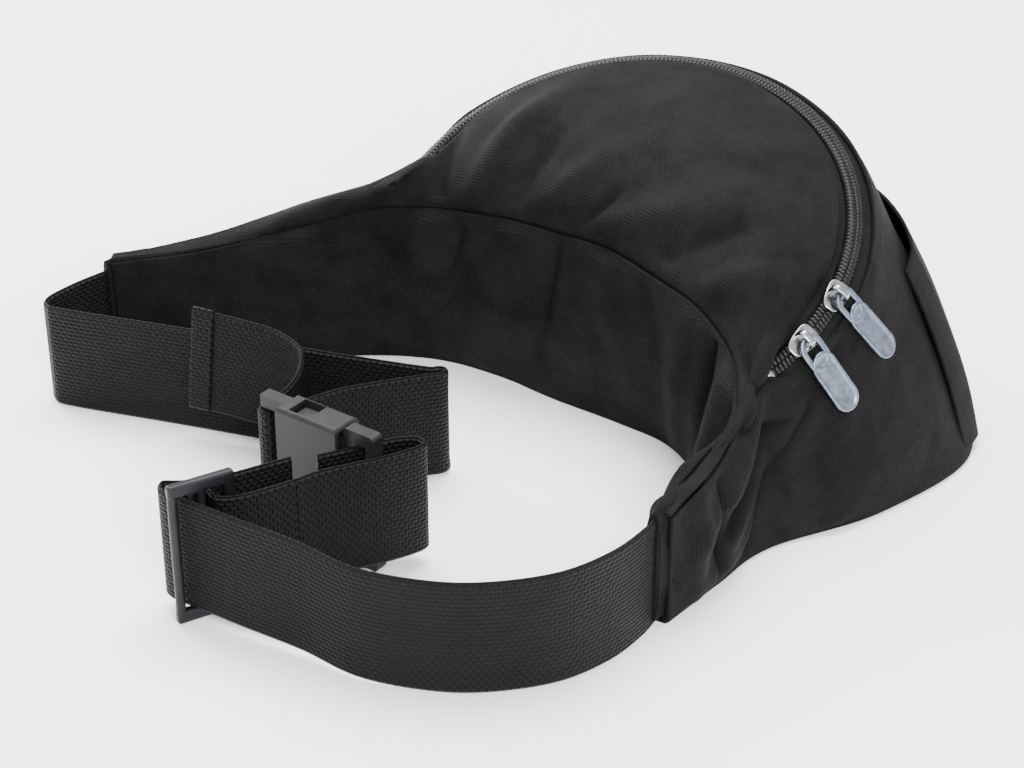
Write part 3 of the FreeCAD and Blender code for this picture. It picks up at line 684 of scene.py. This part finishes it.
def zip_chain():
    """The closed coil: teeth are a cosine along the chain, half a pitch apart on its sides."""
    pitch, half = 1.5, 2.7
    length = math.radians(ZIP_ENDS[1] - ZIP_ENDS[0]) * ZIP_RADIUS
    steps = int(length / pitch) * 6
    angle = np.linspace(*ZIP_ENDS, steps + 1)
    across = np.linspace(-half, half, 25)
    along = np.linspace(0, length, steps + 1)[:, None]
    side = (across > 0)[None] * 0.5
    tooth = 0.5 + 0.5 * np.cos(2 * np.pi * (along / pitch + side))
    middle = np.clip(1 - np.abs(across) / 0.5, 0, 1)[None]
    tooth = tooth * (1 - middle) + 0.15 * middle
    dome = np.sqrt(np.clip(1 - (across / half) ** 4, 0, 1))[None]
    points = zip_point(angle[:, None], across[None], 0.1 + dome * (1.15 + 1.05 * tooth))
    piece = surface_piece("coil_chain", points, upwards, "nylon coil, extruded", thick=0.5)
    stand_in(piece, "zip_coil", "zip_coil_inner", "zip_coil_outer")


def zip_stops():
    """A pressed metal stop across the chain at each end: a rounded bar over both coils."""
    for name, angle in (("left", ZIP_ENDS[0] + 1.2), ("right", ZIP_ENDS[1] - 1.2)):
        span = np.linspace(-3.2, 3.2, 24)
        path = zip_point(np.full(24, angle), span, 2.5 - 0.12 * span**2 / 3.2)
        up = (zip_point(np.array([angle]), 0.0, 1.0) - zip_point(np.array([angle])))[0]
        points, faces = sweep(path, up, round_profile(1.3, 0.5, 16, 0.6))
        piece = new_piece("stop_" + name, points, faces, None, "zinc alloy, nickel plated")
        stand_in(piece, "zip_metal", "zip_stop_" + name)


def zip_stitching():
    """Two rows of topstitching on the cloth at each side of the zip."""
    angle = np.linspace(ZIP_ENDS[0] + 1, ZIP_ENDS[1] - 1, 500)
    t = np.interp(angle, ZIP_STATIONS, [station(k) for k in range(ZIP_FIRST, ZIP_LAST + 1)])
    for name, low, high in (("roof", -1, BACK_SEAM), ("front", 1, FRONT_FOOT)):
        edge, far = ridge(low, t), curve_through(high, t)
        inward = unit(far - edge)
        out = unit(zip_point(angle, 0.0, 1.0) - zip_point(angle))
        rows = [(edge + inward * gap + out * (0.35 + 0.09 * gap), out) for gap in (1.6, 4.8)]
        piece = stitch_piece("topstitching_" + name, rows)


# ---- sliders and pulls ----------------------------------------------------------------------
def local_axes(angle):
    """Along, across and above, at an angle round the zip, and the point on the chain."""
    spot = zip_point(np.array([angle]))[0]
    across = zip_point(np.array([angle]), 1.0)[0] - spot
    above = zip_point(np.array([angle]), 0.0, 1.0)[0] - spot
    return spot, np.cross(across, above), across, above


def outline(half_long, half_wide, nose, count=48):
    """A slider's plate: a superellipse that narrows towards one end."""
    a = whole_turn(count)
    x = half_long * np.sign(np.cos(a)) * np.abs(np.cos(a)) ** 0.6
    y = half_wide * np.sign(np.sin(a)) * np.abs(np.sin(a)) ** 0.6
    return x, y * (1 - nose * (x / half_long + 1) / 2)


def stacked(rings):
    """A closed lump from rings of one size: quads between them and a cap at each end."""
    rows, columns = len(rings), len(rings[0])
    faces = grid_faces(rows, columns, True).tolist()
    faces += [list(range(columns))[::-1], list(range((rows - 1) * columns, rows * columns))]
    return np.concatenate(rings), faces


def joined(lumps):
    """Several lumps as one list of points and faces."""
    points, faces, count = [], [], 0
    for spots, sides in lumps:
        points.append(spots)
        faces += [[i + count for i in side] for side in sides]
        count += len(spots)
    return np.concatenate(points), faces


def plate(x, y, z0, z1, edge=0.3):
    """A plate with rounded edges: its outline shrinks by a quarter circle at each face."""
    rings = []
    for turn in np.linspace(-np.pi / 2, np.pi / 2, 9):
        pull_in = edge * (1 - math.cos(turn))
        z = (z0 + edge if turn < 0 else z1 - edge) + edge * math.sin(turn)
        size = np.hypot(x, y).max()
        rings.append(np.stack([x * (1 - pull_in / size * 1.6), y * (1 - pull_in / size * 2.4),
                               np.full_like(x, z)], 1))
    return stacked(rings)


def slider_lumps():
    x, y = outline(5.5, 4.3, 0.32)
    upper = plate(x, y, 2.6, 3.75)
    lower = plate(x, y, -2.15, -1.05)
    t = np.linspace(0, np.pi, 40)
    reach, tall = 2.7, 5.1
    cx = np.sign(np.cos(t)) * np.abs(np.cos(t)) ** 0.45 * reach
    cz = 3.3 + np.sin(t) ** 0.5 * (tall - 0.3)
    path = np.stack([np.zeros_like(t), cx, cz], 1)
    bridge = sweep(path, np.array([1.0, 0, 0]), round_profile(0.65, 1.15, 16, 0.6))
    post = plate(x * 0.28, y * 0.07, -1.4, 2.8, 0.05)
    return joined([upper, lower, bridge, post])


def pull_lumps():
    """An eye of round wire-like section, then an oval tag with a rim round a sunk panel."""
    a = whole_turn(72)

    def stadium(x0, x1, half, z):
        reach = (x1 - x0) / 2 - half
        x = (x0 + x1) / 2 + np.cos(a) * half + np.sign(np.cos(a)) * reach
        return np.stack([x, np.sin(a) * half, np.full_like(a, z)], 1)

    start, eye_end, end = -0.8, 6.4, 29.2
    # how far each ring stands in from the outline, and its height
    rings = ((0.5, -0.7), (0.1, -0.5), (0.0, 0.0), (0.1, 0.5), (0.4, 0.72), (1.1, 0.7),
             (1.4, 0.34), (2.0, 0.3))
    tag = [stadium(eye_end + inset, end - inset, TAG_HALF - inset, z) for inset, z in rings]
    loop_path = stadium(start + 0.9, eye_end + 5.0, 3.5, 0.0)
    loop_path = np.vstack([loop_path, loop_path[:2]])
    points, faces = sweep(loop_path, np.array([0, 0, 1.0]), round_profile(1.0, 0.62, 14, 0.7))
    return joined([stacked(tag), (points, faces)])


def sliders_and_pulls():
    for letter, angle in SLIDER_ANGLES.items():
        spot, along, across, above = local_axes(angle)
        points, faces = slider_lumps()
        placed = spot + points @ np.stack([along, across, above])
        piece = new_piece("slider_body_" + letter, placed, faces, None,
                          "zinc alloy, nickel plated", "slider_" + letter)
        stand_in(piece, "zip_metal", "zip_slider_" + letter)
        out = radial(np.array([angle]))[0]
        length = out * math.cos(PULL_HANG) - ZIP_AXIS * math.sin(PULL_HANG)
        normal = out * math.sin(PULL_HANG) + ZIP_AXIS * math.cos(PULL_HANG)
        pivot = zip_point(np.array([angle]), 0.0, PIVOT_ABOVE)[0]
        points, faces = pull_lumps()
        placed = pivot + points @ np.stack([length, np.cross(normal, length), normal])
        piece = new_piece("pull_tag_" + letter, placed, faces, None,
                          "zinc alloy, satin blue-grey", "pull_" + letter)
        stand_in(piece, "pull_tag", "zip_pull_" + letter)


# ---- the belt -------------------------------------------------------------------------------
def spin(x, y, angle, at):
    a = math.radians(angle)
    return (at[0] + x * math.cos(a) - y * math.sin(a), at[1] + x * math.sin(a) + y * math.cos(a))


def at_triglide(x, y):
    return spin(x, y, TRIGLIDE_TURN, TRIGLIDE_AT)


def at_buckle(x, y):
    return spin(x, y, BUCKLE_TURN, BUCKLE_AT)


def strap_profile():
    """Webbing's section: a flat oval with a thicker selvedge along each edge."""
    y = np.concatenate([np.linspace(-1, 1, 40), np.linspace(1, -1, 40)]) * BELT_WIDTH / 2
    y[0], y[39], y[40], y[79] = [k * (BELT_WIDTH / 2 - 0.02) for k in (-1, 1, 1, -1)]
    edge = np.clip((BELT_WIDTH / 2 - np.abs(y)) / 0.8, 0.08, 1) ** 0.5
    x = BELT_THICK / 2 * edge
    x[40:] *= -1
    return np.stack([x, y], 1)


def strap_piece(name, route, body=PACK, ends=(0.0, 1.0)):
    """Webbing along a route of (x, y, z, lean in degrees), stood on its edge."""
    dense = curve_through(route, np.linspace(*ends, 60 * len(route)))
    path, at = evenly(dense, 0.9)
    lean = np.radians(path[:, 3])
    path = path[:, :3]
    flat = unit(np.gradient(path, axis=0) * np.array([1, 1, 0]))
    up = UP * np.cos(lean)[:, None] - flat * np.sin(lean)[:, None]
    profile = strap_profile()
    points, faces = sweep(path, up, profile)
    uv = np.stack(np.meshgrid(at, profile[:, 1] + 20, indexing="ij"), -1).reshape(-1, 2)
    piece = new_piece(name, points, faces, uv, "polypropylene webbing", body)
    return piece


def standing(points, drops=None):
    """A plan route stood up: each place may drop below the hardware's height."""
    drops = drops or [0] * len(points)
    return [(x, y, BELT_Z - drop, 0.0) for (x, y), drop in zip(points, drops)]


def inset_end(tip, heading):
    """The belt's end, sewn inside a wing."""
    length = math.hypot(*heading)
    return tuple(t - h / length * BELT_INSET for t, h in zip(tip, heading))


def right_strap():
    tx, ty = RIGHT_TIP
    fx, fy = TRIGLIDE_AT
    below = fy + BESIDE_BAR
    run = BESIDE_BAR + BELT_THICK + FACE_CLEAR
    plan = [inset_end(RIGHT_TIP, RIGHT_HEADING), (tx, ty), (tx - 0.1, ty - 10), (tx - 3, ty - 25),
            (tx - 11, ty - 41), (tx - 26, ty - 55), (tx - 42, ty - 63),
            (8, below - 0.2), (-12, below + 1.2), (-32, below + 0.4), (fx + 9, below),
            (fx, below), (fx - 6.4, below + 0.8), (fx - 8.8, below + 4.2),
            at_triglide(5.5, run + 4.2), at_triglide(13, run + 0.9), at_triglide(22, run),
            at_triglide(40, run - 0.5)]
    drops = [4.7, 4.8, 4.9, 4.9, 4.9, 4.9, 4.9, 4.2, 3, 1.4, 0.3] + [0] * 7
    route = standing(plan, drops)
    # the last two of its 17 spans lie beyond the tri-glide's side of the belt
    turn = 15 / 17
    piece = strap_piece("strap_right", route, PACK, (0, turn))
    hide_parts("belt_right")
    back = strap_piece("strap_return", route, None, (turn, 1))
    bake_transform(back)


def buckle_loop():
    route = standing([
        at_triglide(TRIGLIDE_PITCH + 26.5, -7.6), at_triglide(TRIGLIDE_PITCH + 36, -7.0),
        at_buckle(MALE_SLOT + 9.0, -1.5), at_buckle(MALE_SLOT + 13.5, 8.5),
        at_buckle(MALE_SLOT + 13.6, 12.6), at_buckle(MALE_SLOT + 9.6, 13.2),
        at_buckle(MALE_SLOT + 5.0, 8.6), at_buckle(MALE_SLOT, 0.0),
        at_buckle(MALE_SLOT - 5.0, -8.6), at_buckle(MALE_SLOT - 7.2, -12.6)])
    piece = strap_piece("strap_fold", route, "buckle_male")
    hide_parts("belt_buckle_loop")


def sewn_loop():
    reach, pitch = BESIDE_BAR, TRIGLIDE_PITCH
    route = standing([
        at_triglide(pitch - reach, -0.8), at_triglide(pitch - reach, 0.3),
        at_triglide(pitch - reach * 0.7, reach * 0.7), at_triglide(pitch, reach),
        at_triglide(pitch + reach * 0.7, reach * 0.7), at_triglide(pitch + reach, 0),
        at_triglide(pitch + reach + 0.3, -4.0), at_triglide(pitch + reach + 4.5, -6.6),
        at_triglide(pitch + 14, -7.6), at_triglide(pitch + 26.5, -7.6)])
    piece = strap_piece("strap_sewn_end", route, "triglide")
    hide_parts("belt_sewn_loop")


def left_strap():
    tx, ty = LEFT_TIP
    bar = LADDER_BAR / 2
    plan = [inset_end(LEFT_TIP, LEFT_HEADING), (tx, ty), (tx - 5.6, ty - 13), (tx - 8.4, ty - 25),
            (tx - 6, ty - 29.5), (tx + 2, ty - 29.5), (tx + 42, ty - 21), (tx + 90, ty - 11.5),
            (tx + 126, ty - 3.6), (tx + 133.5, ty - 1.4), (tx + 134.5, ty - 4.6),
            (tx + 129, ty - 12), (tx + 116, ty - 31), at_buckle(bar + 5.4, 12.0),
            at_buckle(bar + WRAP_REACH + 0.3, 4.6)]
    turns = [0.0, -math.pi / 4, -math.pi / 2, -3 * math.pi / 4, -math.pi]
    plan += [at_buckle(bar + WRAP_REACH * math.cos(a), WRAP_REACH * math.sin(a)) for a in turns]
    plan.append(at_buckle(bar - WRAP_REACH - 0.3, 4.5))
    drops = [2.4, 2.8, 3.8, 4.6, 4.8, 4.9, 4.9, 4.9, 4.8, 4.4, 4.2, 3.6, 1.8, 0.6] + [0] * 7
    piece = strap_piece("strap_left", standing(plan, drops))
    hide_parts("belt_left")
    x0, y0 = at_buckle(bar - WRAP_REACH - 0.4, 5.2)
    x1, y1 = at_buckle(bar - WRAP_REACH - 1.0, 13.0)
    tail = [(x0, y0, BELT_Z, 0), (x1, y1, BELT_Z, 0), (x1 - 3.0, y1 + 11, BELT_Z + 0.6, 6),
            (x1 - 9.5, y1 + 20.0, BELT_Z + 1.8, 14), (x1 - 20, y1 + 22.6, BELT_Z + 3.6, 22),
            (x1 - 32, y1 + 20.6, BELT_Z + 5.4, 29), (x1 - 43, y1 + 18.2, BELT_Z + 6.6, 32)]
    piece = strap_piece("strap_tail", tail)
    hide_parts("belt_tail")
    # the tail's end is folded back on itself twice, in front of the tail
    step = unit(np.array(tail[-1][:3]) - np.array(tail[-2][:3]))
    start = np.array(tail[-1][:3]) + step * 0.3
    hem = [(*(start + step * k), 32) for k in (0.0, 2.3, 4.6, 7.0)]
    fold = strap_piece("strap_tail_hem", hem)
    wide = fold.modifiers.new("doubled", "SOLIDIFY")
    wide.thickness, wide.offset = 1.0 * MM, 0.0
    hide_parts("belt_tail_hem")


# ---- properties, operators and panel --------------------------------------------------------
class WaistPackSizes(bpy.types.PropertyGroup):
    fabric: bpy.props.FloatProperty(name="Fabric", description="Thickness of one lined panel",
                                    default=0.0014, min=0.0002, unit="LENGTH")
    padding: bpy.props.FloatProperty(name="Padding", description="Thickness of the padded back",
                                     default=0.003, min=0.001, unit="LENGTH")
    lens: bpy.props.FloatProperty(name="Lens", description="Focal length on a 36 mm sensor",
                                  default=81.6, min=20, unit="CAMERA")


def colour_property(name, description, hex_value):
    return bpy.props.FloatVectorProperty(name=name, description=description, subtype="COLOR",
                                         size=4, min=0, max=1, default=hex_rgb(hex_value))


class WaistPackColours(bpy.types.PropertyGroup):
    cloth_dark: colour_property("Cloth, dark", "Thread in shade", "#070606")
    cloth_light: colour_property("Cloth, light", "Thread in light", "#161316")
    # the webbing's darkest random tone, and the painted shade in the grooves between beads
    webbing_dark_and_groove_shade: colour_property("Webbing, dark", "Between beads", "#020202")
    webbing_light: colour_property("Webbing, light", "On the beads", "#0f0e0f")
    floor: colour_property("Floor", "Pale floor", "#ffffff")


class PieceOperator:
    """What the operators share: the scene's sizes and a finished result."""
    bl_options = {"REGISTER", "UNDO"}

    def execute(self, context):
        self.make(context.scene)
        return {"FINISHED"}


class OBJECT_OT_pack_materials(PieceOperator, bpy.types.Operator):
    """Make the cloth, webbing, plastic and metal finishes"""
    bl_idname = "waistpack.materials"
    bl_label = "Materials"

    def make(self, scene):
        all_materials(scene.pack_colours)


class OBJECT_OT_pack_stage(PieceOperator, bpy.types.Operator):
    """Lay a pale floor, hang soft lights and place the camera"""
    bl_idname = "waistpack.stage"
    bl_label = "Stage"

    def make(self, scene):
        stage(scene)


class OBJECT_OT_pack_body(PieceOperator, bpy.types.Operator):
    """Sew the pack's body: back, roof, front, bottom, front pocket, seams and wings"""
    bl_idname = "waistpack.body"
    bl_label = "Body"

    def make(self, scene):
        sizes = scene.pack_sizes
        bottom_panel(sizes)
        back_panel(sizes)
        roof_panel(sizes)
        front_panel(sizes)
        front_pocket()
        rolled_seams()
        wing_ends()


class OBJECT_OT_pack_zip(PieceOperator, bpy.types.Operator):
    """Lay the main zip: tapes, coil, stops and topstitching"""
    bl_idname = "waistpack.zip"
    bl_label = "Zip"

    def make(self, scene):
        zip_tapes()
        zip_chain()
        zip_stops()
        zip_stitching()


class OBJECT_OT_pack_sliders(PieceOperator, bpy.types.Operator):
    """Fit both sliders with their pull tags"""
    bl_idname = "waistpack.sliders"
    bl_label = "Sliders"

    def make(self, scene):
        sliders_and_pulls()


class OBJECT_OT_pack_belt(PieceOperator, bpy.types.Operator):
    """Thread the webbing belt through its hardware"""
    bl_idname = "waistpack.belt"
    bl_label = "Belt"

    def make(self, scene):
        right_strap()
        buckle_loop()
        sewn_loop()
        left_strap()


class OBJECT_OT_pack_hardware(PieceOperator, bpy.types.Operator):
    """Give the buckle and the tri-glide their moulded finish"""
    bl_idname = "waistpack.hardware"
    bl_label = "Hardware"

    def make(self, scene):
        finish_hardware()


PIECES = (OBJECT_OT_pack_materials, OBJECT_OT_pack_stage, OBJECT_OT_pack_body,
          OBJECT_OT_pack_zip, OBJECT_OT_pack_sliders, OBJECT_OT_pack_belt,
          OBJECT_OT_pack_hardware)


class VIEW3D_PT_waist_pack(bpy.types.Panel):
    """Lists the pack's operators, sizes and colours"""
    bl_label = "Waist pack"
    bl_space_type = "VIEW_3D"
    bl_region_type = "UI"
    bl_category = "Waist pack"

    def draw(self, context):
        for group in (context.scene.pack_sizes, context.scene.pack_colours):
            for name in group.__annotations__:
                self.layout.prop(group, name)
        for piece in PIECES:
            self.layout.operator(piece.bl_idname)


# ---- hardware finish and stage --------------------------------------------------------------
def finish_hardware():
    """The moulded parts keep their shape from the frame and take a moulded plastic finish."""
    finishes = {"triglide": "acetal, moulded dark", "buckle_housing": "acetal, moulded",
                "buckle_male": "acetal, moulded", "buckle_arm_upper": "acetal, moulded",
                "buckle_arm_lower": "acetal, moulded"}
    for node, finish in finishes.items():
        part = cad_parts[node]
        part.data.materials.clear()
        part.data.materials.append(bpy.data.materials[finish])


def area_light(name, place, aim, size, watts):
    light = bpy.data.lights.new(name, "AREA")
    light.shape, light.size, light.energy = "DISK", size, watts
    lamp = bpy.data.objects.new(name, light)
    bpy.context.scene.collection.objects.link(lamp)
    lamp.location = place
    from_to = [b - a for a, b in zip(place, aim)]
    yaw = math.atan2(from_to[1], from_to[0]) - math.pi / 2
    pitch = math.atan2(from_to[2], math.hypot(from_to[0], from_to[1])) + math.pi / 2
    lamp.rotation_euler = (pitch, 0, yaw)


def stage(scene):
    tree = begin("white paper sweep")
    finish(tree, {"Base Color": scene.pack_colours.floor, "Roughness": 0.75,
                  "Specular IOR Level": 0.2})
    reach = 3.0
    mesh = bpy.data.meshes.new("floor")
    mesh.from_pydata([(-reach, -reach, 0), (reach, -reach, 0), (reach, reach, 0),
                      (-reach, reach, 0)], [], [(0, 1, 2, 3)])
    mesh.materials.append(bpy.data.materials["white paper sweep"])
    floor = bpy.data.objects.new("floor", mesh)
    scene.collection.objects.link(floor)
    world = bpy.data.worlds.new("soft white room")
    world.use_nodes = True
    background = world.node_tree.nodes["Background"]
    background.inputs["Color"].default_value = hex_rgb("#f7f9ff")
    background.inputs["Strength"].default_value = 1.7
    scene.world = world
    middle = (-0.02, -0.08, 0.03)
    area_light("overhead softbox", (-0.15, 0.25, 1.25), middle, 0.9, 34)
    area_light("wearer side softbox", (0.75, -0.9, 0.75), middle, 0.5, 24)
    area_light("far side softbox", (-1.0, 0.2, 0.6), middle, 0.6, 13)
    camera = bpy.data.cameras.new("camera")
    camera.lens, camera.sensor_width = scene.pack_sizes.lens, 36
    camera.clip_start = 0.05
    eye = bpy.data.objects.new("camera", camera)
    eye.location = (0.3109, -0.6504, 0.407)
    eye.rotation_euler = (math.radians(60), 0, math.radians(29.6))
    scene.collection.objects.link(eye)
    scene.camera = eye


# ---- registering and running ----------------------------------------------------------------
CLASSES = (WaistPackSizes, WaistPackColours, *PIECES, VIEW3D_PT_waist_pack)


def register():
    for cls in CLASSES:
        bpy.utils.register_class(cls)
    bpy.types.Scene.pack_sizes = bpy.props.PointerProperty(type=WaistPackSizes)
    bpy.types.Scene.pack_colours = bpy.props.PointerProperty(type=WaistPackColours)


def unregister():
    del bpy.types.Scene.pack_colours
    del bpy.types.Scene.pack_sizes
    for cls in reversed(CLASSES):
        bpy.utils.unregister_class(cls)


def main():
    register()
    for piece in PIECES:
        group, name = piece.bl_idname.split(".")
        getattr(getattr(bpy.ops, group), name)()


if __name__ == "__main__":
    main()
